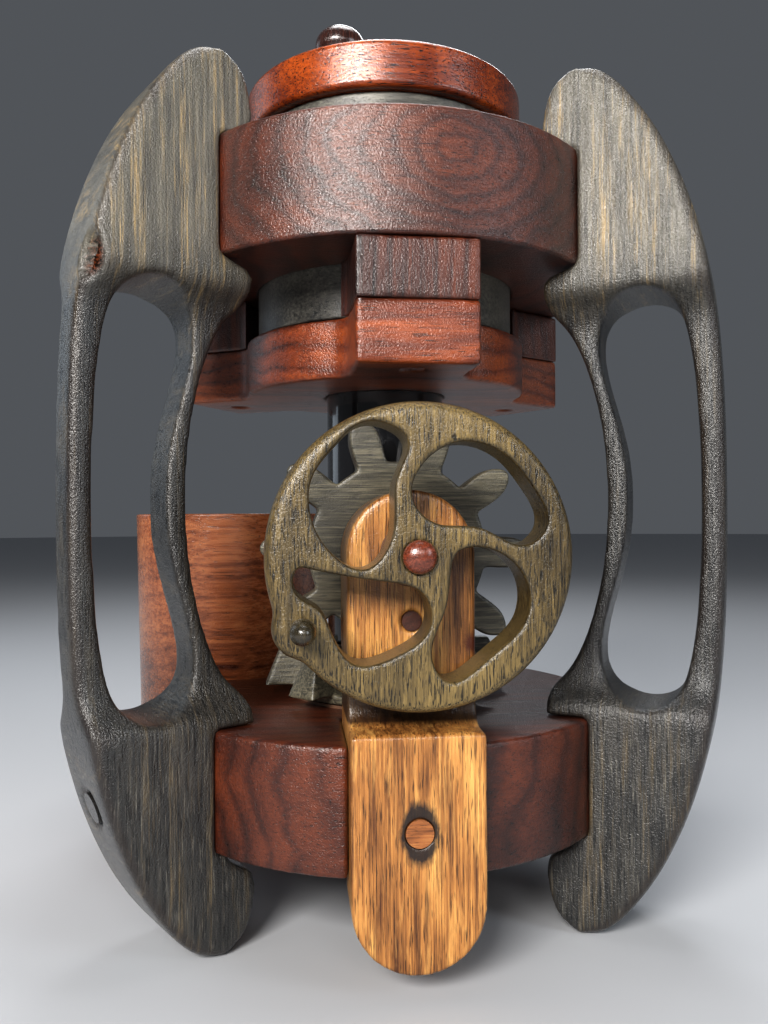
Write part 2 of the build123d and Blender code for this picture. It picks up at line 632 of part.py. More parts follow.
def make_mirror_tube():
    with BuildPart() as mirror_tube:
        with Locations((0, 0, TUBE_BOTTOM)):
            Cylinder(TUBE_R, TUBE_TOP - TUBE_BOTTOM, align=(Align.CENTER, Align.CENTER, Align.MIN))
            Cylinder(TUBE_BORE_R, 300, align=(Align.CENTER, Align.CENTER, Align.MIN), mode=Mode.SUBTRACT)
    save(mirror_tube, "mirror_tube")
    # three strips set as an equilateral prism, silvered faces inward
    with BuildPart() as mirrors:
        with BuildSketch(Plane.XY.offset(TUBE_BOTTOM + 2.5)):
            with Locations([Location((0, 0, 0), (0, 0, 90 + 120 * i)) for i in range(3)]):
                with BuildSketch(mode=Mode.PRIVATE) as strip:
                    with Locations((MIRROR_INRADIUS, 0)):
                        Rectangle(MIRROR_T, MIRROR_WIDTH, align=(Align.MIN, Align.CENTER))
                add(strip.sketch)
        extrude(amount=284 - TUBE_BOTTOM - 2.5)
    save(mirrors, "mirrors")
    with BuildPart() as dust_glass:
        with Locations((0, 0, TUBE_BOTTOM)):
            Cylinder(TUBE_BORE_R, 2.5, align=(Align.CENTER, Align.CENTER, Align.MIN))
    save(dust_glass, "dust_glass")
    with BuildPart() as eye_baffle:
        with Locations((0, 0, 284)):
            Cylinder(TUBE_BORE_R, 2.5, align=(Align.CENTER, Align.CENTER, Align.MIN))
            Cylinder(8, 2.5, align=(Align.CENTER, Align.CENTER, Align.MIN), mode=Mode.SUBTRACT)
    save(eye_baffle, "eye_baffle")


# ---------------------------------------------------------------- canister

def make_canister():
    with BuildPart() as canister:
        with Locations((CAN_X, CAN_Y, 0)):
            Cone(CAN_BOTTOM_R, CAN_TOP_R, CAN_TOP, align=(Align.CENTER, Align.CENTER, Align.MIN))
        with Locations((CAN_X, CAN_Y, 8)):
            Cylinder(41.5, 130, align=(Align.CENTER, Align.CENTER, Align.MIN), mode=Mode.SUBTRACT)
        with Locations((CAN_X, CAN_Y, CAN_TOP - 8)):
            Cylinder(44.6, 130, align=(Align.CENTER, Align.CENTER, Align.MIN), mode=Mode.SUBTRACT)
    save(canister, "canister")
    with BuildPart() as canister_lid:
        with Locations((CAN_X, CAN_Y, CAN_TOP - 8)):
            Cylinder(44.2, 8, align=(Align.CENTER, Align.CENTER, Align.MIN))
            Cylinder(10, 8, align=(Align.CENTER, Align.CENTER, Align.MIN), mode=Mode.SUBTRACT)
    save(canister_lid, "canister_lid")
    with BuildPart() as spare_cells:
        for z in (8.0, 24.0):
            with Locations((CAN_X, CAN_Y, z)):
                Cylinder(26.5, 15.5, align=(Align.CENTER, Align.CENTER, Align.MIN))
    save(spare_cells, "spare_cells")


make_base_disc()
for side_name, side_azimuth in FRAME_AZIMUTHS.items():
    make_side_frame(side_name, side_azimuth)
make_upper_ring()
make_lower_plate()
make_spacer_blocks()
make_plate_screws()
make_frame_screws()
make_frame_plugs()
make_ring_dowels()
make_crank_post()
make_post_plugs()
make_axle_bushes()
make_thrust_washers()
make_crank_wheel()
make_crank_axle()
make_crank_knob()
make_drive_gear()
make_crown_gear()
make_turntable_washer()
make_object_cell()
make_drum()
make_top_cap()
make_cap_knob()
make_eyepiece()
make_mirror_tube()
make_canister()
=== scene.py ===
import json
from math import cos, pi, radians, sin, sqrt

import bmesh
import bpy
import numpy as np
from mathutils import Matrix, Vector


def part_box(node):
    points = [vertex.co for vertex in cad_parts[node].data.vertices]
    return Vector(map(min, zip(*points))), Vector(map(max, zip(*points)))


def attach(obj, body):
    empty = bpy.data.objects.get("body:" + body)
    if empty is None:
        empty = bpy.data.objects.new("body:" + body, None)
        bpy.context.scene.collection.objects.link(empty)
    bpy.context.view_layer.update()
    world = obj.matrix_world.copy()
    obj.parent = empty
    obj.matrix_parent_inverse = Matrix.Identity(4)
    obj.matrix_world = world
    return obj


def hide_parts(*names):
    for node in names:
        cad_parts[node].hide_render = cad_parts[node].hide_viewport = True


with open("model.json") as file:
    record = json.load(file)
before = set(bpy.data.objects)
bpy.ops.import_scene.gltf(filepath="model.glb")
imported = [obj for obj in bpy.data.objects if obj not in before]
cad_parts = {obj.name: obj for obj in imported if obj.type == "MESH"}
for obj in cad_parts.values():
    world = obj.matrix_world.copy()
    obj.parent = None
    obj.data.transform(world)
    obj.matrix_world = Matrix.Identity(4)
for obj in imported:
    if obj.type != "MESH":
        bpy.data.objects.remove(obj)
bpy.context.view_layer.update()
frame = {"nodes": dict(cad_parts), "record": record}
nodes = frame["nodes"]
MM = 0.001

# Slot of each CAD node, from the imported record
SLOTS = {entry["node"]: entry["material_slot"] for entry in frame["record"]["subparts"]}
BODIES = frame["record"]["behaviour"]["bodies"]
BODY_OF = {node: body for body, members in BODIES.items() for node in members}


# ---------------------------------------------------------------- places, from the frame

def centre(node):
    low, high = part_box(node)
    return (Vector(low) + Vector(high)) / 2


def size(node):
    low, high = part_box(node)
    return Vector(high) - Vector(low)


def bottom(node):
    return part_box(node)[0][2]


def top(node):
    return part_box(node)[1][2]


JOINTS = {joint["name"]: joint for joint in frame["record"]["behaviour"]["joints"]}
AXLE = Vector(JOINTS["crank_turn"]["pos_m"])
FLOOR_Z = bottom("side_frame_left")
SIDES = ("left", "right", "rear")
FRAME_DIRECTIONS = {side: centre(f"side_frame_{side}").xy.normalized() for side in SIDES}

# Dead knot on the left frame's outer front edge: its place and its half sizes
KNOT_RHO = 137.0 * MM
KNOT_SIDE = 15.0 * MM
KNOT_Z = 210.0 * MM
KNOT_RADII_MM = (6.5, 6.5, 8.5)
LEFT = FRAME_DIRECTIONS["left"]
KNOT_X = LEFT.x * KNOT_RHO - LEFT.y * KNOT_SIDE
KNOT_Y = LEFT.y * KNOT_RHO + LEFT.x * KNOT_SIDE
KNOT = Vector((KNOT_X, KNOT_Y, KNOT_Z))
# Middle of the oval figure on the upper ring: across, and down from the ring's top
OVAL_X_MM = 27.5
OVAL_DROP_MM = 7.0
# Star-shaped knot beside the small plug in the post, and the height of the foot's top
STAR_X_MM = 21.0
STAR_DROP_MM = 8.0
FOOT_TOP_MM = 50.3
# Wide round-over along the frames' outer edges
BAND_HEIGHT = 3.0 * MM
ROUND_OVER = 11.0 * MM
ROUND_FADE = 5.0 * MM
BAND_ROUNDS = 45
# Along a frame, from its middle height: its lobes' colouring fades in, then the pale painted sheen over its
# upper lobes
LOBE_FADE_MM = (66, 92)
SHEEN_FADE_MM = (68, 96)
UPPER_FADE_MM = 60
# Canister and its lid
CANISTER_TAPER = 2.5 * MM
CANISTER_FLOOR = 8 * MM
LID_GAP = 0.4 * MM
LID_LEDGE = 3.1 * MM
LID_HOLE_R = 10 * MM
# Crank knob, axle cap and cap knob
STEM_R = 2.5 * MM
GRIP_LENGTH = 13.6 * MM
AXLE_CAP_EDGE = 0.9 * MM
CAP_STEM_R = 3 * MM
CAP_STEM_LENGTH = 8 * MM
# Drum, cap, tube and eyepiece
DRUM_WALL = 5 * MM
DRUM_FLOOR = 8 * MM
CAP_HOLE_R = 14 * MM
TUBE_WALL = 2 * MM
EYE_HOLE_R = 11 * MM
EYE_LOW = 294 * MM
# The rest of the eyepiece ring's section: radius and height over the cap, in mm
EYE_RING_MM = ((19, 0), (19.3, 3), (18.4, 6.4), (16.4, 8.4), (13.8, 8.4), (11.7, 6.9), (11, 5.0))
# Floor, lights and camera
FLOOR_R = 8.0
FLOOR_COLOUR = (0.50, 0.51, 0.53)
TARGET = (0, 0, 0.13)
# Name, place, aim, width, height, power and colour
LIGHTS = (
    ("key", (-0.50, -1.00, 0.66), TARGET, 0.52, 0.36, 19, (1.0, 0.975, 0.94)),
    ("fill", (0.85, -0.72, 0.52), TARGET, 0.40, 0.45, 3.0, (0.88, 0.94, 1.0)),
    ("front", (0.10, -1.05, 0.50), (0, 0, 0.2), 0.34, 0.22, 1.6, (1, 1, 1)),
    ("back", (0.25, 1.00, 1.12), TARGET, 0.5, 0.4, 4.0, (0.94, 0.97, 1.0)),
    ("overhead", (0.05, 0.10, 1.15), (0, 0, 0.1), 0.6, 0.5, 4.5, (1, 1, 1)),
    ("rim", (-0.9, 0.55, 0.5), TARGET, 0.4, 0.7, 1.0, (0.80, 0.90, 1.0)),
)
WORLD_COLOUR = (0.62, 0.66, 0.72)
WORLD_STRENGTH = 0.17
CAMERA_PLACE = (-0.04113, -0.37981, 0.12097)
CAMERA_YAW, CAMERA_PITCH, CAMERA_ROLL = 6.0905, 0.4028, -0.3000
CAMERA_LENS = 30.45
EXPOSURE = 0.33
GAMMA = 0.80


# ---------------------------------------------------------------- node graphs

class Graph:
    """A material's node tree with short calls for the nodes that the woods use."""

    def __init__(self, name):
        self.material = bpy.data.materials.new(name)
        self.material.use_nodes = True
        self.tree = self.material.node_tree
        self.tree.nodes.clear()
        self.output = self.tree.nodes.new("ShaderNodeOutputMaterial")
        self.shader = self.tree.nodes.new("ShaderNodeBsdfPrincipled")
        self.tree.links.new(self.shader.outputs[0], self.output.inputs["Surface"])
        self.place = self.add("TexCoord").outputs["Object"]
        # where the finish is missing, 0 to 1, once a wood's extra has set it
        self.bare = None

    def add(self, kind, props=(), **sockets):
        made = self.tree.nodes.new("ShaderNode" + kind)
        for key, value in dict(props).items():
            setattr(made, key, value)
        for key, value in sockets.items():
            self.put(made.inputs[key.replace("_", " ")], value)
        return made

    def put(self, socket, value):
        if isinstance(value, bpy.types.NodeSocket):
            self.tree.links.new(value, socket)
        else:
            socket.default_value = value

    def set(self, name, value):
        self.put(self.shader.inputs[name], value)

    def math(self, operation, a, b=0.0, clamp=False):
        made = self.tree.nodes.new("ShaderNodeMath")
        made.operation = operation
        made.use_clamp = clamp
        self.put(made.inputs[0], a)
        self.put(made.inputs[1], b)
        return made.outputs[0]

    def mix(self, amount, a, b, blend="MIX"):
        made = self.tree.nodes.new("ShaderNodeMix")
        made.data_type = "RGBA"
        made.blend_type = blend
        self.put(made.inputs[0], amount)
        self.put(made.inputs[6], a)
        self.put(made.inputs[7], b)
        return made.outputs[2]

    def vector(self, operation, a, b=None, c=None):
        made = self.tree.nodes.new("ShaderNodeVectorMath")
        made.operation = operation
        for socket, value in zip(made.inputs, (a, b, c)):
            if value is not None:
                self.put(socket, value)
        return made

    def stretch(self, vector, scale, rotation=(0, 0, 0), offset=(0, 0, 0)):
        return self.add("Mapping", Vector=vector, Scale=scale, Rotation=rotation, Location=offset).outputs[0]

    def noise(self, vector, scale=1.0, detail=3.0, rough=0.55):
        made = self.add("TexNoise", Vector=vector, Scale=scale, Detail=detail, Roughness=rough)
        return made.outputs[0]

    def millimetres(self):
        return self.stretch(self.place, (1000, 1000, 1000))

    def distance(self, a, b, scale=(1, 1, 1)):
        """Distance from a to b, with each axis stretched."""
        away = self.stretch(self.vector("SUBTRACT", a, b).outputs[0], scale)
        return self.vector("LENGTH", away).outputs["Value"]

    def ramp(self, value, *stops):
        made = self.add("ValToRGB", Fac=value)
        ramp = made.color_ramp
        while len(ramp.elements) < len(stops):
            ramp.elements.new(0.5)
        for element, (position, colour) in zip(ramp.elements, stops):
            element.position = position
            element.color = (*colour, 1.0) if len(colour) == 3 else colour
        return made.outputs[0]

    def level(self, value, low, high, to_low=0.0, to_high=1.0):
        made = self.add("MapRange", Value=value, From_Min=low, From_Max=high, To_Min=to_low, To_Max=to_high)
        made.clamp = True
        return made.outputs[0]

    def attribute(self, name):
        return self.add("Attribute", {"attribute_name": name}).outputs["Fac"]


def rgb(colour):
    return (*colour, 1.0)


# Turns that bring the fibres' direction to local Z
ALONG_Z = (0, 0, 0)
ALONG_X = (0, radians(90), 0)
ALONG_Y = (radians(90), 0, 0)


def ring_radius(g, p, pith, wander):
    """Distance from the pith across the fibres, wandering along the board."""
    slow = g.stretch(p, (0.016, 0.016, 0.005))
    drift = g.add("TexNoise", Vector=slow, Scale=1.0, Detail=3.0, Roughness=0.5)
    shifted = g.vector("MULTIPLY_ADD", drift.outputs["Color"], (wander * 4, wander * 4, 0), p)
    across = g.stretch(shifted.outputs[0], (1, 1, 0), offset=(-pith[0], -pith[1], 0))
    return g.vector("LENGTH", across).outputs["Value"]


def wood(name, light, middle, dark, turn=ALONG_Z, pith=(60, 25), ring=5.0, ring_mix=0.6, wander=7.0,
         streak=(0.9, 0.9, 0.02), streak_mix=0.5, pores=(2.6, 2.6, 0.09), pore_mix=0.5, pore_level=0.60,
         blotch=0.35, cloud=(0.03, 0.03, 0.012), rough=0.38, rough_span=0.15, coat=0.25, coat_rough=0.25,
         bump=0.25, peel=0.3, edge_dark=0.6, edge_colour=(0.02, 0.015, 0.01), figure=None, extra=None):
    """Wood seen in millimetres, with its fibres along local Z after the turn.

    light, middle and dark colour the growth rings; streak, pores and cloud are frequencies per mm along the
    turned axes; pith is where the rings' centre lies across the fibres; edge_dark darkens rounded edges;
    figure(g, mm, p) may give its own ring radius and extra(g, mm, p, colour) may paint over the colour.
    """
    g = Graph(name)
    mm = g.millimetres()
    p = g.stretch(mm, (1, 1, 1), rotation=turn)
    radius = figure(g, mm, p) if figure else ring_radius(g, p, pith, wander)
    rings = g.math("FRACT", g.math("DIVIDE", radius, ring))
    tones = ((0.0, 0.50), (0.5, 0.78), (0.84, 0.06), (1.0, 0.50))
    ring_tone = g.ramp(rings, *[(position, (grey,) * 3) for position, grey in tones])
    # fibres, pores and cloudy patches
    fibre = g.noise(g.stretch(p, streak), 1.0, 5.0, 0.66)
    pore = g.noise(g.stretch(p, pores), 1.0, 2.0, 0.5)
    patch = g.noise(g.stretch(p, cloud), 1.0, 3.0, 0.55)
    tone = g.mix(ring_mix, (0.5, 0.5, 0.5, 1), ring_tone)
    tone = g.mix(streak_mix, tone, g.level(fibre, 0.3, 0.7))
    tone = g.mix(blotch, tone, g.level(patch, 0.32, 0.68))
    colour = g.ramp(tone, (0.18, dark), (0.48, middle), (0.80, light))
    pore_mask = g.level(pore, pore_level, pore_level + 0.07)
    colour = g.mix(g.math("MULTIPLY", pore_mask, pore_mix), colour, rgb([c * 0.22 for c in dark]))
    if extra:
        colour = extra(g, mm, p, colour)
    edge = g.level(g.attribute("edge"), 0.12, 0.75)
    colour = g.mix(g.math("MULTIPLY", edge, edge_dark), colour, rgb(edge_colour))
    g.set("Base Color", colour)
    wear = g.math("ADD", g.math("MULTIPLY", fibre, 0.6), g.math("MULTIPLY", patch, 0.4))
    g.set("Roughness", g.level(wear, 0.3, 0.7, rough - rough_span / 2, rough + rough_span / 2))
    if g.bare:
        polish = g.level(g.bare, 0.0, 1.0, 1.0, 0.0)
        g.set("Coat Weight", g.math("MULTIPLY", polish, coat))
        g.set("Specular IOR Level", g.math("MULTIPLY", polish, 0.5))
    else:
        g.set("Coat Weight", coat)
    g.set("Coat Roughness", coat_rough)
    # height: open pores, raised fibres and the fine orange peel of the finish
    height = g.math("SUBTRACT", g.math("MULTIPLY", fibre, 0.5), g.math("MULTIPLY", pore_mask, 0.6))
    grain = g.add("Bump", Strength=bump, Distance=0.00025, Height=height)
    fine = g.noise(g.stretch(mm, (1.4, 1.4, 1.4)), 1.0, 2.0, 0.65)
    skin = g.add("Bump", Strength=peel, Distance=0.0004, Height=fine, Normal=grain.outputs[0])
    g.set("Normal", skin.outputs[0])
    g.set("Coat Normal", skin.outputs[0])
    return g.material


def frame_wood(name, side):
    """Charcoal stain rubbed back so that the pale fibres glint through in upright streaks, with a painted
    sheen over the upper lobes.
    """
    azimuth = FRAME_DIRECTIONS[side].to_3d().to_track_quat("X", "Z").to_euler().z
    middle_z = centre(f"side_frame_{side}").z * 1000
    knot = KNOT * 1000

    def rubbed_and_painted_sheen(g, mm, p, colour):
        long_streak = g.noise(g.stretch(p, (0.34, 0.03, 0.012)), 1.0, 4.0, 0.72)
        short_streak = g.noise(g.stretch(p, (1.5, 0.2, 0.07)), 1.0, 3.0, 0.6)
        mask = g.math("MULTIPLY", g.level(long_streak, 0.50, 0.66), g.level(short_streak, 0.40, 0.62))
        upright = g.add("SeparateXYZ", Vector=p).outputs["Z"]
        reach = g.math("ABSOLUTE", g.math("SUBTRACT", upright, middle_z))
        lobes = g.level(reach, *LOBE_FADE_MM, 0.25, 1.0)
        upper = g.level(upright, middle_z - UPPER_FADE_MM, middle_z + UPPER_FADE_MM, 0.35, 1.0)
        gilded = g.math("MULTIPLY", g.math("MULTIPLY", mask, lobes), upper)
        # painted sheen: a pale grey veil over the upper lobes stands in for the light they catch
        sheen_veil = g.level(g.noise(g.stretch(p, (0.5, 0.06, 0.02)), 1.0, 5.0, 0.75), 0.38, 0.62, 0.25, 0.85)
        crown = g.level(upright, middle_z + SHEEN_FADE_MM[0], middle_z + SHEEN_FADE_MM[1])
        colour = g.mix(g.math("MULTIPLY", sheen_veil, crown), colour, rgb((0.175, 0.158, 0.122)))
        colour = g.mix(gilded, colour, rgb((0.38, 0.275, 0.135)))
        scratches = g.level(g.noise(g.stretch(p, (2.4, 0.4, 0.10)), 1.0, 3.0, 0.6), 0.58, 0.68, 0.0, 0.5)
        colour = g.mix(g.math("MULTIPLY", scratches, lobes), colour, rgb((0.22, 0.205, 0.17)))
        if side != "left":
            return colour
        # dead knot on the outer edge
        far = g.distance(mm, tuple(knot), [1 / r for r in KNOT_RADII_MM])
        crumble = g.noise(g.stretch(mm, (0.9, 0.9, 0.9)), 1.0, 4.0, 0.7)
        hollow = g.level(g.math("ADD", far, g.math("MULTIPLY", crumble, 0.5)), 1.05, 1.35, 1.0, 0.0)
        g.bare = hollow
        bark = g.mix(g.level(crumble, 0.46, 0.60), rgb((0.006, 0.004, 0.003)), rgb((0.24, 0.060, 0.020)))
        return g.mix(hollow, colour, bark)

    return wood(name, (0.060, 0.055, 0.047), (0.024, 0.0235, 0.0225), (0.007, 0.007, 0.0075),
                turn=(0, 0, -azimuth), pith=(260, 20), ring=7.0, ring_mix=0.3, streak=(0.8, 0.1, 0.018),
                streak_mix=0.6, pores=(2.0, 0.4, 0.09), pore_mix=0.8, pore_level=0.56, blotch=0.3,
                rough=0.34, rough_span=0.14, coat=0.75, coat_rough=0.27, bump=0.5, peel=1.0,
                edge_dark=0.5, edge_colour=(0.022, 0.012, 0.008), extra=rubbed_and_painted_sheen)


def walnut(name, turn=ALONG_X, pith=(30, 150), ring=6.5, figure=None, warm=0.0):
    """Dark red-brown walnut; warm brings it towards orange."""
    light = Vector((0.150, 0.036, 0.013)).lerp(Vector((0.480, 0.120, 0.024)), warm)
    middle = Vector((0.058, 0.0135, 0.0065)).lerp(Vector((0.200, 0.040, 0.009)), warm)
    dark = Vector((0.010, 0.0034, 0.0026)).lerp(Vector((0.030, 0.006, 0.003)), warm)
    return wood(name, tuple(light), tuple(middle), tuple(dark), turn=turn, pith=pith, ring=ring,
                ring_mix=0.75, wander=10.0, streak=(0.8, 0.8, 0.02), streak_mix=0.35, pores=(2.2, 2.2, 0.10),
                pore_mix=0.75, blotch=0.35, rough=0.30, rough_span=0.10, coat=0.6, coat_rough=0.25, bump=0.3,
                peel=0.75, edge_dark=0.3, figure=figure)


def oval_figure(g, mm, p):
    """Closed ovals where the growth rings bulge out at the front of the upper ring, right of its middle."""
    rim = size("upper_ring").y / 2 * 1000
    slow = g.stretch(mm, (0.03, 0.02, 0.035))
    drift = g.add("TexNoise", Vector=slow, Scale=1.0, Detail=3.0, Roughness=0.55)
    shifted = g.vector("MULTIPLY_ADD", drift.outputs["Color"], (22, 0, 16), mm).outputs[0]
    eye = (OVAL_X_MM, -rim, top("upper_ring") * 1000 - OVAL_DROP_MM)
    return g.distance(shifted, eye, (0.62, 0.25, 1.0))


def post_wood(name):
    """Golden board with dark streaks, scorched round the foot's plug and by the small plug, with painted
    shade in its cove under the wheel.
    """
    plug = centre("foot_plug") * 1000
    star = (STAR_X_MM, 0, centre("post_plug").z * 1000 - STAR_DROP_MM)

    def scorched_and_shaded(g, mm, p, colour):
        streaks = g.noise(g.stretch(p, (0.34, 0.06, 0.014)), 1.0, 5.0, 0.72)
        colour = g.mix(g.level(streaks, 0.50, 0.68, 0.0, 0.85), colour, rgb((0.060, 0.017, 0.006)))
        pale = g.noise(g.stretch(p, (0.22, 0.06, 0.03), offset=(7, 3, 1)), 1.0, 4.0, 0.65)
        colour = g.mix(g.level(pale, 0.56, 0.74, 0.0, 0.8), colour, rgb((0.74, 0.42, 0.135)))
        # burn round the foot's plug, taller than wide
        wobble = g.math("MULTIPLY", g.noise(g.stretch(mm, (0.45, 0.1, 0.2)), 1.0, 3.0, 0.6), 4.0)
        reach = g.math("ADD", g.distance(mm, tuple(plug), (1.0, 0.0, 0.60)), wobble)
        colour = g.mix(g.level(reach, 7.2, 9.2, 0.95, 0.0), colour, rgb((0.010, 0.007, 0.008)))
        # star-shaped knot at the board's right edge
        rays = g.math("MULTIPLY", g.noise(g.stretch(mm, (0.8, 0.1, 0.8)), 1.0, 3.0, 0.7), 3.5)
        spread = g.math("ADD", g.distance(mm, star, (1.0, 0.0, 0.8)), rays)
        colour = g.mix(g.level(spread, 3.2, 5.2, 0.9, 0.0), colour, rgb((0.085, 0.016, 0.008)))
        # painted shade in the cove between the foot and the upper post, where the wheel shadows it
        height = g.add("SeparateXYZ", Vector=mm).outputs["Z"]
        above_foot = g.level(height, FOOT_TOP_MM, FOOT_TOP_MM + 1.5)
        below_post = g.level(height, FOOT_TOP_MM + 9, FOOT_TOP_MM + 17, 1.0, 0.0)
        cove_shade = g.math("MULTIPLY", above_foot, below_post)
        return g.mix(g.math("MULTIPLY", cove_shade, 0.9), colour, rgb((0.020, 0.009, 0.006)))

    return wood(name, (0.74, 0.43, 0.140), (0.43, 0.195, 0.054), (0.075, 0.023, 0.008), turn=ALONG_Z,
                pith=(140, 60), ring=6.0, ring_mix=0.35, streak=(1.1, 0.3, 0.022), streak_mix=0.65,
                pores=(2.4, 0.6, 0.10), pore_mix=0.8, pore_level=0.57, blotch=0.35, cloud=(0.05, 0.02, 0.02),
                rough=0.34, coat=0.4, coat_rough=0.26, bump=0.35, peel=0.4, edge_dark=0.9,
                edge_colour=(0.045, 0.018, 0.010), extra=scorched_and_shaded)


def wheel_wood(name):
    """Olive-gold board full of short dark fibres, its rounded edges charcoal."""
    return wood(name, (0.255, 0.180, 0.066), (0.118, 0.083, 0.032), (0.020, 0.014, 0.007), turn=ALONG_Z,
                pith=(90, 40), ring=5.0, ring_mix=0.25, streak=(1.5, 1.5, 0.07), streak_mix=0.65,
                pores=(2.3, 2.3, 0.20), pore_mix=0.9, pore_level=0.55, blotch=0.3, rough=0.32, coat=0.4,
                coat_rough=0.22, bump=0.35, peel=0.6, edge_dark=0.95, edge_colour=(0.012, 0.011, 0.009))


def gear_wood(name):
    """Grey-brown board with its fibres across, dark at the teeth's edges."""
    return wood(name, (0.215, 0.190, 0.130), (0.064, 0.058, 0.042), (0.009, 0.008, 0.007), turn=ALONG_X,
                pith=(70, 30), ring=5.0, ring_mix=0.3, streak=(1.3, 1.3, 0.05), streak_mix=0.7,
                pores=(2.4, 2.4, 0.15), pore_mix=0.7, blotch=0.3, rough=0.40, coat=0.3, coat_rough=0.32,
                bump=0.35, peel=0.4, edge_dark=0.7)


def cap_wood(name):
    """Orange-red varnished cherry with fine dark dashes along the grain."""
    return wood(name, (0.42, 0.088, 0.009), (0.165, 0.027, 0.0035), (0.030, 0.004, 0.0015), turn=ALONG_X,
                pith=(30, 120), ring=9.0, ring_mix=0.4, streak=(0.7, 0.7, 0.03), streak_mix=0.6,
                pores=(2.0, 2.0, 0.16), pore_mix=0.9, pore_level=0.57, blotch=0.45, rough=0.24,
                rough_span=0.08, coat=0.65, coat_rough=0.15, bump=0.25, peel=0.4, edge_dark=0.3,
                edge_colour=(0.10, 0.02, 0.01))


def canister_wood(name):
    """Cherry with its grain level."""
    return wood(name, (0.57, 0.225, 0.085), (0.310, 0.098, 0.035), (0.085, 0.020, 0.008), turn=ALONG_X,
                pith=(10, 60), ring=8.0, ring_mix=0.6, streak=(0.6, 0.6, 0.015), streak_mix=0.55,
                pores=(1.8, 1.8, 0.06), pore_mix=0.6, blotch=0.35, rough=0.28, coat=0.6, coat_rough=0.2,
                bump=0.3, peel=0.35, edge_dark=0.3)


# Light, middle and dark tones of the small turned pieces
RED = (0.34, 0.085, 0.036), (0.17, 0.040, 0.018), (0.04, 0.010, 0.006)
BROWN = (0.11, 0.034, 0.018), (0.050, 0.016, 0.010), (0.014, 0.006, 0.005)
OLIVE = (0.105, 0.080, 0.036), (0.044, 0.034, 0.017), (0.012, 0.010, 0.006)
GOLD = (0.56, 0.28, 0.092), (0.33, 0.125, 0.038), (0.07, 0.022, 0.008)
COAL = (0.060, 0.054, 0.048), (0.030, 0.028, 0.026), (0.010, 0.010, 0.010)


def small_wood(name, tones, turn, rough=0.28, coat=0.7):
    """Close-grained wood of the knobs and plugs."""
    return wood(name, *tones, turn=turn, pith=(14, 9), ring=2.6, ring_mix=0.5,
                streak=(1.4, 1.4, 0.06), streak_mix=0.5, pores=(3.0, 3.0, 0.3), pore_mix=0.6, blotch=0.3,
                rough=rough, coat=coat, coat_rough=0.18, bump=0.3, peel=0.2, edge_dark=0.0)


def drum_wood(name):
    """Ebonised drum, greyed where the finish is thin."""
    return wood(name, (0.220, 0.208, 0.172), (0.090, 0.085, 0.073), (0.016, 0.016, 0.016), turn=ALONG_X,
                pith=(30, 60), ring=6.0, ring_mix=0.3, streak=(0.9, 0.9, 0.02), streak_mix=0.75,
                pores=(2.0, 2.0, 0.05), pore_mix=0.6, blotch=0.5, rough=0.42, coat=0.2, coat_rough=0.35,
                bump=0.35, peel=0.3, edge_dark=0.0)


def painted_tube(name):
    g = Graph(name)
    mm = g.millimetres()
    wave = g.noise(g.stretch(mm, (0.05, 0.05, 0.02)), 1.0, 2.0)
    g.set("Base Color", g.mix(wave, rgb((0.006, 0.006, 0.007)), rgb((0.016, 0.016, 0.018))))
    g.set("Roughness", g.level(g.noise(g.stretch(mm, (0.4, 0.4, 0.05)), 1.0, 3.0), 0.3, 0.7, 0.10, 0.22))
    g.set("Coat Weight", 0.8)
    g.set("Coat Roughness", 0.06)
    swell = g.noise(g.stretch(mm, (0.25, 0.25, 0.06)), 1.0, 3.0)
    ripple = g.add("Bump", Strength=0.08, Distance=0.0004, Height=swell)
    g.set("Normal", ripple.outputs[0])
    return g.material


def metal(name, colour, rough, turn):
    """Turned metal with fine tool marks round the turn axis."""
    g = Graph(name)
    mm = g.stretch(g.place, (1000, 1000, 1000), rotation=turn)
    marks = g.noise(g.stretch(mm, (0.15, 0.15, 6.0)), 1.0, 3.0, 0.7)
    stain = g.noise(g.stretch(mm, (0.2, 0.2, 0.2)), 1.0, 4.0, 0.6)
    g.set("Base Color", g.mix(g.level(stain, 0.35, 0.7), rgb(colour), rgb([c * 0.62 for c in colour])))
    g.set("Metallic", 1.0)
    g.set("Roughness", g.level(marks, 0.3, 0.7, rough - 0.08, rough + 0.1))
    g.set("Normal", g.add("Bump", Strength=0.2, Distance=0.0001, Height=marks).outputs[0])
    return g.material


def leather(name):
    g = Graph(name)
    mm = g.millimetres()
    cells = g.add("TexVoronoi", {"feature": "DISTANCE_TO_EDGE"}, Vector=mm, Scale=0.9).outputs[0]
    tone = g.noise(g.stretch(mm, (0.1, 0.1, 0.1)), 1.0, 4.0)
    g.set("Base Color", g.mix(tone, rgb((0.10, 0.05, 0.03)), rgb((0.24, 0.13, 0.075))))
    g.set("Roughness", g.level(cells, 0.0, 0.3, 0.75, 0.5))
    g.set("Normal", g.add("Bump", Strength=0.4, Distance=0.0002, Height=cells).outputs[0])
    return g.material


def card(name):
    g = Graph(name)
    mm = g.millimetres()
    pulp = g.noise(mm, 2.0, 4.0)
    g.set("Base Color", g.mix(pulp, rgb((0.012, 0.012, 0.013)), rgb((0.035, 0.034, 0.034))))
    g.set("Roughness", g.level(pulp, 0.3, 0.7, 0.75, 0.95))
    g.set("Normal", g.add("Bump", Strength=0.2, Distance=0.0001, Height=pulp).outputs[0])
    return g.material


def glass(name, colour, rough, clear=1.0):
    """Glass with faint smears; clear sets how much light passes."""
    g = Graph(name)
    mm = g.millimetres()
    smear = g.noise(g.stretch(mm, (0.08, 0.08, 0.08)), 1.0, 3.0)
    g.set("Base Color", g.mix(g.level(smear, 0.3, 0.8), rgb(colour), rgb([c * 0.85 for c in colour])))
    g.set("Roughness", g.level(smear, 0.3, 0.7, rough, rough + 0.06))
    g.set("Transmission Weight", clear)
    g.set("IOR", 1.5)
    return g.material


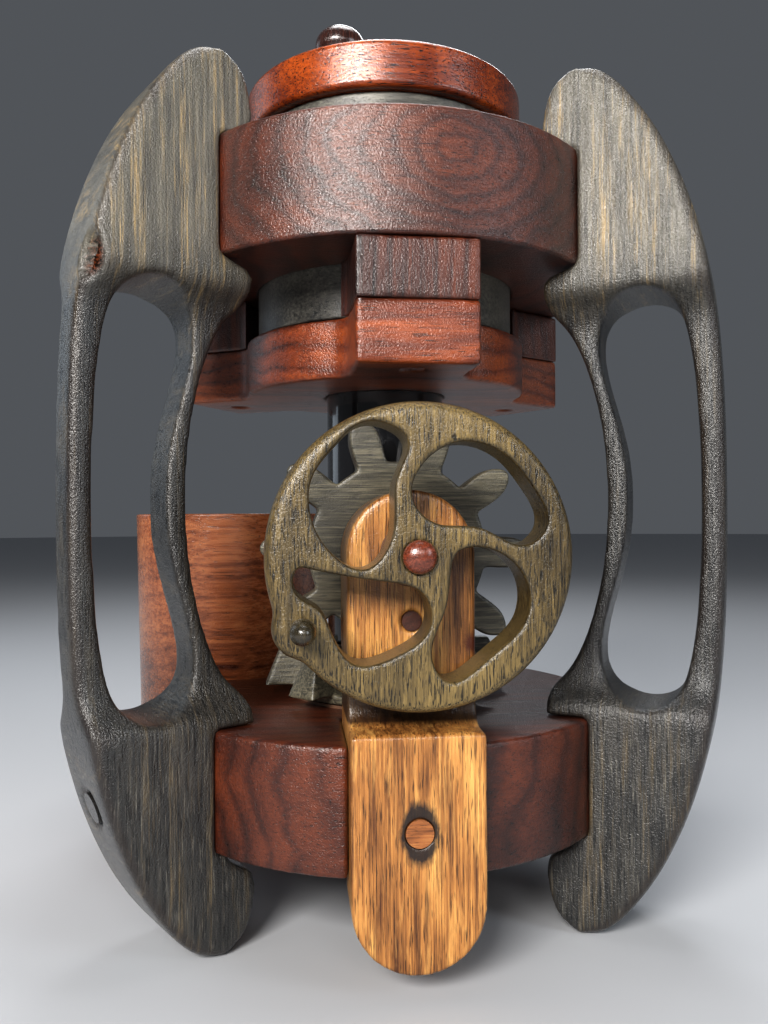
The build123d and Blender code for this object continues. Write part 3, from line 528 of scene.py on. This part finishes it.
def coloured_glass(name):
    """Loose pieces, each tinted by where it lies in the cell."""
    g = Graph(name)
    mm = g.millimetres()
    flat = g.stretch(mm, (1, 1, 0))
    patch = g.add("TexVoronoi", {"feature": "F1"}, Vector=flat, Scale=0.09).outputs["Color"]
    hue = g.add("HueSaturation", Color=g.mix(0.85, rgb((0.6, 0.6, 0.6)), patch), Saturation=1.9, Value=1.2)
    g.set("Base Color", hue.outputs[0])
    g.set("Roughness", g.level(g.noise(mm, 0.5, 2.0), 0.3, 0.7, 0.03, 0.12))
    g.set("Transmission Weight", 0.8)
    g.set("IOR", 1.52)
    return g.material


def silvering(name):
    g = Graph(name)
    mm = g.millimetres()
    age = g.noise(g.stretch(mm, (0.06, 0.06, 0.02)), 1.0, 4.0, 0.6)
    g.set("Base Color", g.mix(g.level(age, 0.55, 0.8), rgb((0.86, 0.88, 0.89)), rgb((0.70, 0.70, 0.66))))
    g.set("Metallic", 1.0)
    g.set("Roughness", g.level(age, 0.4, 0.8, 0.02, 0.09))
    return g.material


# ---------------------------------------------------------------- pieces

def own(obj, material, node, *more):
    """The piece stands for its CAD nodes: same body, and the nodes are hidden."""
    obj.data.materials.clear()
    obj.data.materials.append(material)
    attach(obj, BODY_OF[node])
    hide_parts(node, *more)
    return obj


def linked(name, mesh):
    obj = bpy.data.objects.new(name, mesh)
    bpy.context.scene.collection.objects.link(obj)
    return obj


def applied(obj):
    """The object's mesh with its modifiers worked in."""
    graph = bpy.context.evaluated_depsgraph_get()
    mesh = bpy.data.meshes.new_from_object(obj.evaluated_get(graph))
    obj.modifiers.clear()
    obj.data = mesh
    return obj


def relax(points, edges, rounds, strength):
    """Moves every point towards the mean of its neighbours, several times over."""
    count = len(points)
    first, second = edges[:, 0], edges[:, 1]
    valence = np.bincount(first, minlength=count) + np.bincount(second, minlength=count)
    valence = np.maximum(valence, 1)[:, None]
    strength = np.reshape(strength, (-1, 1)) if np.ndim(strength) else strength
    for _ in range(rounds):
        ahead = [np.bincount(first, points[second, k], count) for k in range(3)]
        behind = [np.bincount(second, points[first, k], count) for k in range(3)]
        total = np.stack(ahead, axis=1) + np.stack(behind, axis=1)
        points = points + (total / valence - points) * strength
    return points


def mesh_arrays(mesh):
    points = np.empty(len(mesh.vertices) * 3)
    mesh.vertices.foreach_get("co", points)
    edges = np.empty(len(mesh.edges) * 2, dtype=np.int64)
    mesh.edges.foreach_get("vertices", edges)
    return points.reshape(-1, 3), edges.reshape(-1, 2)


def sanded(name, node, voxel, rounds, shape=None, band=None):
    """A copy of a CAD node remeshed finely and sanded: its edges round off, its faces stay.

    The edge attribute holds how far sanding went inwards, in voxels, so a material can find the edges.
    band(points) gives weights for a second, longer sanding, and shape(points, normals) may carve the
    points after it.
    """
    obj = linked(name, nodes[node].data.copy())
    grid = obj.modifiers.new("grid", "REMESH")
    grid.mode = "VOXEL"
    grid.voxel_size = voxel
    applied(obj)
    mesh = obj.data
    points, edges = mesh_arrays(mesh)
    points = relax(points, edges, 2, 0.5)
    start = points.copy()
    points = relax(points, edges, rounds, 0.5)
    if band:
        points = relax(points, edges, BAND_ROUNDS, 0.5 * band(start))
    mesh.vertices.foreach_set("co", points.ravel())
    mesh.update()
    normals = np.empty(len(mesh.vertices) * 3)
    mesh.vertices.foreach_get("normal", normals)
    normals = normals.reshape(-1, 3)
    inward = ((start - points) * normals).sum(axis=1) / voxel
    inward = relax(np.repeat(inward[:, None], 3, axis=1), edges, 3, 0.5)[:, 0]
    if shape:
        mesh.vertices.foreach_set("co", shape(points, normals).ravel())
    mesh.attributes.new("edge", "FLOAT", "POINT").data.foreach_set("value", inward)
    mesh.shade_smooth()
    mesh.update()
    return obj


def turned(name, profile, middle, axis="Z", segments=192, bevel=0.0, bevel_segments=4, closed=False):
    """A turned piece: profile is (radius, height) in metres; corners are rounded by the bevel."""
    made = bmesh.new()
    count = len(profile)
    rings = []
    for radius, height in profile:
        if radius == 0:
            rings.append([made.verts.new((0, 0, height))])
        else:
            turns = [2 * pi * i / segments for i in range(segments)]
            rings.append([made.verts.new((radius * cos(a), radius * sin(a), height)) for a in turns])
    for k in range(count if closed else count - 1):
        a, b = rings[k], rings[(k + 1) % count]
        for i in range(segments):
            j = (i + 1) % segments
            if len(a) == 1:
                made.faces.new((a[0], b[i], b[j]))
            elif len(b) == 1:
                made.faces.new((a[i], b[0], a[j]))
            else:
                made.faces.new((a[i], b[i], b[j], a[j]))
    bmesh.ops.recalc_face_normals(made, faces=made.faces)
    if axis == "Y":
        bmesh.ops.rotate(made, verts=made.verts, matrix=Matrix.Rotation(radians(90), 3, "X"))
    bmesh.ops.translate(made, verts=made.verts, vec=middle)
    mesh = bpy.data.meshes.new(name)
    made.to_mesh(mesh)
    made.free()
    obj = linked(name, mesh)
    mesh.shade_smooth()
    if bevel:
        rounding = obj.modifiers.new("rounding", "BEVEL")
        rounding.width = bevel
        rounding.segments = bevel_segments
        rounding.limit_method = "ANGLE"
        rounding.angle_limit = radians(25)
        rounding.harden_normals = True
        applied(obj)
    return obj


def close_holes(mesh):
    """Fills the mesh's open rims with flat faces."""
    made = bmesh.new()
    made.from_mesh(mesh)
    bmesh.ops.holes_fill(made, edges=[edge for edge in made.edges if edge.is_boundary])
    made.to_mesh(mesh)
    made.free()


# ---------------------------------------------------------------- stand

def hollow_knot(points, normals):
    """Sinks the dead knot into the edge, with a crumbled floor."""
    reach = np.array(KNOT_RADII_MM) * MM
    away = np.linalg.norm((points - np.array(KNOT)) / reach, axis=1)
    crumbled = 1.0 + 0.25 * np.sin(points[:, 2] * 2600) * np.sin(points[:, 0] * 2100 + points[:, 1] * 1700)
    depth = 6.0 * MM * np.clip(1.25 - away, 0, 0.8) * crumbled
    return points - normals * depth[:, None]


def outer_band(outward):
    """Weights that are full at a frame's outer edge and fade over its round-over."""
    def weigh(points):
        rho = points[:, :2] @ np.array(outward)
        band = ((points[:, 2] - points[:, 2].min()) / BAND_HEIGHT).astype(int)
        furthest = np.full(band.max() + 1, -1.0)
        np.maximum.at(furthest, band, rho)
        return np.clip((rho - furthest[band] + ROUND_OVER) / ROUND_FADE, 0, 1)
    return weigh


def make_frames():
    for side in SIDES:
        node = f"side_frame_{side}"
        carve = hollow_knot if side == "left" else None
        band = outer_band(FRAME_DIRECTIONS[side])
        obj = sanded(f"frame_{side}", node, 1.0 * MM, 12, shape=carve, band=band)
        own(obj, frame_wood(f"charcoal_{side}", side), node)


def make_base():
    obj = sanded("base", "base_disc", 1.1 * MM, 4)
    own(obj, walnut("walnut_base", pith=(30, 150), warm=0.04), "base_disc")


def make_ring():
    low, high = bottom("upper_ring"), top("upper_ring")
    outer = size("upper_ring").x / 2
    inner = size("drum").x / 2 + 0.1 * MM
    profile = [(outer, low), (outer, high), (inner, high), (inner, low)]
    obj = turned("ring", profile, (0, 0, 0), bevel=1.4 * MM, closed=True, segments=256)
    own(obj, walnut("walnut_ring", ring=5.5, figure=oval_figure), "upper_ring")


def make_plate():
    obj = sanded("plate", "lower_plate", 1.0 * MM, 5)
    own(obj, walnut("walnut_plate", pith=(-190, 60), warm=0.75), "lower_plate")
    obj = sanded("spacers", "spacer_blocks", 0.8 * MM, 3)
    own(obj, walnut("walnut_spacers", turn=ALONG_Z, pith=(70, -90)), "spacer_blocks")


def make_post():
    obj = sanded("post", "crank_post", 0.8 * MM, 7)
    own(obj, post_wood("scorched_and_shaded_post"), "crank_post")


def make_canister():
    low, high = Vector(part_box("canister")[0]), Vector(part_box("canister")[1])
    middle = ((low.x + high.x) / 2, (low.y + high.y) / 2, 0)
    rim = (high.x - low.x) / 2
    foot = rim - CANISTER_TAPER
    lid_low, lid_top = bottom("canister_lid"), top("canister_lid")
    lid_r = size("canister_lid").x / 2
    rebate = lid_r + LID_GAP
    bore = rebate - LID_LEDGE
    inside = low.z + CANISTER_FLOOR
    profile = [(0, inside), (bore, inside), (bore, lid_low), (rebate, lid_low), (rebate, high.z),
               (rim, high.z), (foot, low.z)]
    obj = turned("canister_shell", profile, middle, bevel=1.0 * MM, segments=224)
    close_holes(obj.data)
    own(obj, canister_wood("cherry_canister"), "canister")
    profile = [(lid_r, lid_low), (lid_r, lid_top), (LID_HOLE_R, lid_top), (LID_HOLE_R, lid_low)]
    lid = turned("canister_cover", profile, middle, bevel=1.2 * MM, closed=True)
    own(lid, canister_wood("cherry_lid"), "canister_lid")


# ---------------------------------------------------------------- crank and gears

def make_wheel():
    obj = sanded("wheel", "crank_wheel", 0.55 * MM, 12)
    own(obj, wheel_wood("olive_wheel"), "crank_wheel")


def make_axle_cap():
    low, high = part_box("axle_cap")
    radius = (high[0] - low[0]) / 2
    depth = high[1] - low[1]
    profile = [(0, 0), (radius, 0)]
    for a in np.linspace(0, pi / 2, 10)[:-1]:
        profile.append((radius * cos(a), AXLE_CAP_EDGE + (depth - AXLE_CAP_EDGE) * sin(a)))
    profile.append((0, depth))
    obj = turned("axle_button", profile, (AXLE.x, high[1], AXLE.z), axis="Y", segments=64)
    own(obj, small_wood("button_wood", RED, ALONG_Y), "axle_cap")


def make_crank_knob():
    low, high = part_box("crank_knob")
    middle = centre("crank_knob")
    radius = (high[0] - low[0]) / 2
    length = high[1] - low[1]
    foot = length - GRIP_LENGTH
    profile = [(0, 0), (STEM_R, 0), (STEM_R, foot)]
    steps = 14
    for i in range(steps):
        t = i / (steps - 1)
        swell = 0.80 + 0.20 * sin(pi * min(t * 1.15, 1.0))
        dome = sqrt(max(0.0, 1 - max(0.0, (t - 0.62) / 0.38) ** 2.2))
        profile.append((radius * swell * dome, foot + GRIP_LENGTH * t))
    profile[-1] = (0, length)
    obj = turned("finger_knob", profile, (middle.x, high[1], middle.z), axis="Y", segments=64)
    own(obj, small_wood("knob_wood", OLIVE, ALONG_Z), "crank_knob")


def make_gears():
    obj = sanded("spur_gear", "drive_gear", 0.7 * MM, 5)
    own(obj, gear_wood("gear_upright"), "drive_gear")
    obj = sanded("crown", "crown_gear", 0.7 * MM, 4)
    own(obj, gear_wood("gear_level"), "crown_gear")


# ---------------------------------------------------------------- head

def make_drum():
    outer = size("drum").x / 2
    inner = outer - DRUM_WALL
    hole = size("mirror_tube").x / 2
    low, high = bottom("drum"), top("drum")
    inside = low + DRUM_FLOOR
    profile = [(outer, low), (outer, high), (inner, high), (inner, inside), (hole, inside), (hole, low)]
    obj = turned("drum_shell", profile, (0, 0, 0), bevel=0.8 * MM, closed=True)
    own(obj, drum_wood("ebonised_drum"), "drum")


def make_cap():
    outer = size("top_cap").x / 2
    spigot = size("drum").x / 2 - DRUM_WALL
    low, seat, high = bottom("top_cap"), top("drum"), top("top_cap")
    profile = [(outer, seat), (outer, high), (CAP_HOLE_R, high), (CAP_HOLE_R, low), (spigot, low),
               (spigot, seat)]
    obj = turned("cap", profile, (0, 0, 0), bevel=2.4 * MM, bevel_segments=6, closed=True, segments=256)
    own(obj, cap_wood("cherry_cap"), "top_cap")


def make_cap_knob():
    low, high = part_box("cap_knob")
    middle = centre("cap_knob")
    radius = (high[0] - low[0]) / 2
    base = top("top_cap")
    height = high[2] - base
    profile = [(0, -CAP_STEM_LENGTH), (CAP_STEM_R, -CAP_STEM_LENGTH), (CAP_STEM_R, 0), (radius * 0.86, 0)]
    for t in np.linspace(0.08, 0.62, 6):
        profile.append((radius * (0.86 + 0.14 * sin(pi * t)), height * 0.62 * t))
    shoulder_r, shoulder_h = profile[-1]
    for a in np.linspace(0.12, pi / 2, 12):
        profile.append((shoulder_r * cos(a), shoulder_h + (height - shoulder_h) * sin(a)))
    profile[-1] = (0, height)
    obj = turned("cap_handle", profile, (middle.x, middle.y, base), segments=72)
    own(obj, small_wood("cap_knob_wood", BROWN, ALONG_Z), "cap_knob")


def make_tube():
    outer = size("mirror_tube").x / 2
    inner = outer - TUBE_WALL
    low, high = bottom("mirror_tube"), top("mirror_tube")
    profile = [(outer, low), (outer, high), (inner, high), (inner, low)]
    obj = turned("tube", profile, (0, 0, 0), bevel=0.4 * MM, closed=True, segments=160)
    own(obj, painted_tube("gloss_black"), "mirror_tube")


def make_eyepiece():
    base = top("top_cap")
    profile = [(EYE_HOLE_R, EYE_LOW), (CAP_HOLE_R, EYE_LOW), (CAP_HOLE_R, base)]
    profile += [(radius * MM, base + height * MM) for radius, height in EYE_RING_MM]
    obj = turned("eye_collar", profile, (0, 0, 0), bevel=0.5 * MM, bevel_segments=3, closed=True,
                 segments=128)
    own(obj, small_wood("eyepiece_wood", BROWN, ALONG_Z), "eyepiece_ring")


# ---------------------------------------------------------------- CAD nodes that keep their shape

def finish_small_parts():
    finishes = {
        "steel": metal("zinc_steel", (0.52, 0.52, 0.53), 0.32, ALONG_Z),
        "brass": metal("turned_brass", (0.72, 0.52, 0.22), 0.28, ALONG_Y),
        "leather": leather("leather_washer"),
        "glass": glass("clear_glass", (0.93, 0.96, 0.96), 0.02),
        "opal_glass": glass("opal", (0.92, 0.92, 0.90), 0.55, clear=0.5),
        "colour_glass": coloured_glass("tinted_glass"),
        "mirror": silvering("silvering"),
        "black_card": card("black_card"),
    }
    plugs = {
        "foot_plug": small_wood("golden_plug", GOLD, ALONG_X, rough=0.36, coat=0.3),
        "post_plug": small_wood("burnt_plug", BROWN, ALONG_Y, rough=0.36, coat=0.3),
        "frame_plugs": small_wood("charcoal_plug", COAL, ALONG_Z, coat=0.4),
    }
    for name, obj in nodes.items():
        if obj.hide_render:
            continue
        finish = plugs.get(name) or finishes.get(SLOTS[name])
        if finish:
            obj.data.materials.clear()
            obj.data.materials.append(finish)


# ---------------------------------------------------------------- floor, light and camera

def make_floor():
    made = bmesh.new()
    bmesh.ops.create_circle(made, cap_ends=True, segments=96, radius=FLOOR_R)
    bmesh.ops.translate(made, verts=made.verts, vec=(0, 0, FLOOR_Z))
    mesh = bpy.data.meshes.new("floor")
    made.to_mesh(mesh)
    made.free()
    floor = linked("floor", mesh)
    g = Graph("pale_floor")
    g.set("Base Color", rgb(FLOOR_COLOUR))
    g.set("Roughness", 0.85)
    mesh.materials.append(g.material)


def make_light(name, place, aim, width, height, power, colour):
    data = bpy.data.lights.new(name, "AREA")
    data.shape = "RECTANGLE"
    data.size = width
    data.size_y = height
    data.energy = power
    data.color = colour
    light = bpy.data.objects.new(name, data)
    light.location = place
    light.rotation_euler = (Vector(aim) - Vector(place)).to_track_quat("-Z", "Y").to_euler()
    bpy.context.scene.collection.objects.link(light)


def make_lights():
    for settings in LIGHTS:
        make_light(*settings)
    world = bpy.data.worlds.new("studio")
    world.use_nodes = True
    background = world.node_tree.nodes["Background"]
    background.inputs["Color"].default_value = rgb(WORLD_COLOUR)
    background.inputs["Strength"].default_value = WORLD_STRENGTH
    bpy.context.scene.world = world


def make_camera():
    """Stands close in front, a little left of the middle, level with the wheel."""
    place = Vector(CAMERA_PLACE)
    yaw, pitch, roll = radians(CAMERA_YAW), radians(CAMERA_PITCH), radians(CAMERA_ROLL)
    forward = Vector((sin(yaw) * cos(pitch), cos(yaw) * cos(pitch), sin(pitch)))
    right = Vector((cos(yaw), -sin(yaw), 0))
    up = right.cross(forward)
    right, up = right * cos(roll) + up * sin(roll), up * cos(roll) - right * sin(roll)
    data = bpy.data.cameras.new("camera")
    data.lens = CAMERA_LENS
    data.sensor_width = 36.0
    data.clip_start = 0.01
    camera = bpy.data.objects.new("camera", data)
    turn = Matrix((right, up, -forward)).transposed().to_4x4()
    camera.matrix_world = Matrix.Translation(place) @ turn
    bpy.context.scene.collection.objects.link(camera)
    bpy.context.scene.camera = camera
    view = bpy.context.scene.view_settings
    view.view_transform = "Standard"
    view.exposure = EXPOSURE
    view.gamma = GAMMA


make_frames()
make_base()
make_ring()
make_plate()
make_post()
make_canister()
make_wheel()
make_axle_cap()
make_crank_knob()
make_gears()
make_drum()
make_cap()
make_cap_knob()
make_tube()
make_eyepiece()
finish_small_parts()
make_floor()
make_lights()
make_camera()
